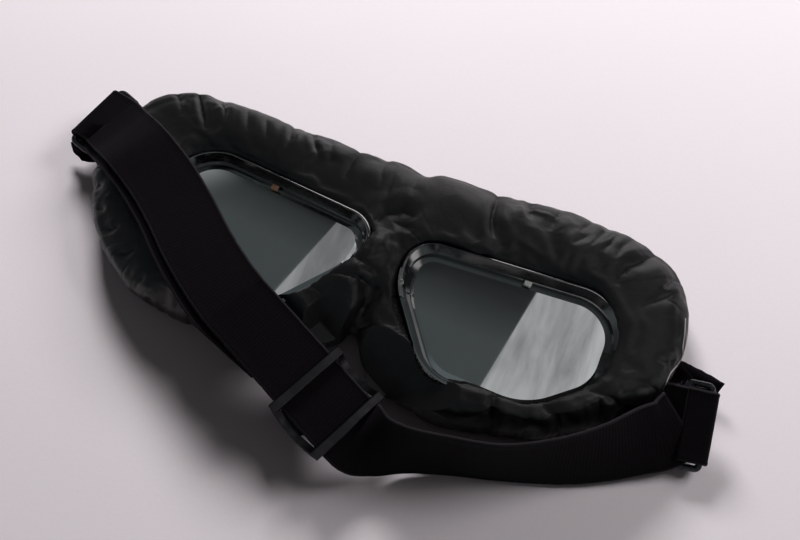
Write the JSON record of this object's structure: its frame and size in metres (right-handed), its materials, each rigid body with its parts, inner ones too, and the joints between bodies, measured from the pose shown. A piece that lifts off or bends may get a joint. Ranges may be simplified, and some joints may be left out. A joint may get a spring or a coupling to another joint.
{
  "type": "aviator flying goggles",
  "caption": "Aviator flying goggles with bevelled glass in metal rims, gathered padded eye surrounds, a soft nose bridge and a webbing strap with slider and rings.",
  "frame": {"origin": "middle of the nose bridge on the face plane, which is also what the goggles rest on", "axes": "+X along the goggles to the right eye as the picture shows it, +Y to the brow, +Z away from the face"},
  "size_m": [0.2311, 0.1069, 0.0254],
  "materials": {
    "rim_metal": "polished",
    "clasp_metal": "polished",
    "screw_metal": "brushed",
    "lens_glass": "polished, tinted",
    "gasket_rubber": "matt",
    "back_ring_metal": "satin",
    "clip_metal": "satin",
    "surround_leather": "soft sheen",
    "lining_cloth": "matt",
    "webbing": "woven",
    "ring_wire": "polished",
    "slider_metal": "satin"
  },
  "bodies": {
    "left_half": {"left_rim": "rim_metal", "left_rim_clasp": "clasp_metal", "left_clasp_screw": "screw_metal", "left_lens": "lens_glass", "left_lens_gasket": "gasket_rubber", "left_back_ring": "back_ring_metal", "left_lens_clip": "clip_metal", "left_cushion": "surround_leather", "left_face_lining": "lining_cloth", "left_strap_tab": "webbing", "bridge_pad": "surround_leather", "strap_left_upper": "webbing", "strap_left_under": "webbing", "strap_right_run": "webbing"},
    "right_half": {"right_rim": "rim_metal", "right_rim_clasp": "clasp_metal", "right_clasp_screw": "screw_metal", "right_lens": "lens_glass", "right_lens_gasket": "gasket_rubber", "right_back_ring": "back_ring_metal", "right_lens_clip": "clip_metal", "right_cushion": "surround_leather", "right_face_lining": "lining_cloth", "right_strap_tab": "webbing"},
    "left_ring_body": {"left_ring": "ring_wire", "strap_left_wrap": "webbing"},
    "right_ring_body": {"right_ring": "ring_wire", "strap_right_wrap": "webbing"},
    "slider_body": {"slider": "slider_metal", "strap_end_loop": "webbing"}
  },
  "joints": [
    {"name": "bridge_fold", "type": "hinge", "parent": "left_half", "child": "right_half", "pos_m": [0, 0, 0.009], "axis": [0, 1, 0], "range_deg": [-30, 30], "deforming": ["bridge_pad", "strap_right_run"]},
    {"name": "left_ring_hinge", "type": "hinge", "parent": "left_half", "child": "left_ring_body", "pos_m": [-0.10805, 0.01391, 0.00757], "axis": [-0.1788, -0.9839, 0], "range_deg": [-20, 20], "deforming": ["strap_left_wrap"]},
    {"name": "right_ring_hinge", "type": "hinge", "parent": "right_half", "child": "right_ring_body", "pos_m": [0.10149, -0.01058, 0.00704], "axis": [-0.161, 0.9131, 0.3746], "range_deg": [-20, 20], "deforming": ["strap_right_wrap"]},
    {"name": "slider_slide", "type": "slide", "parent": "left_half", "child": "slider_body", "axis": [0.8985, -0.3746, -0.2287], "range_m": [-0.01, 0], "deforming": ["strap_left_under"]}
  ]
}
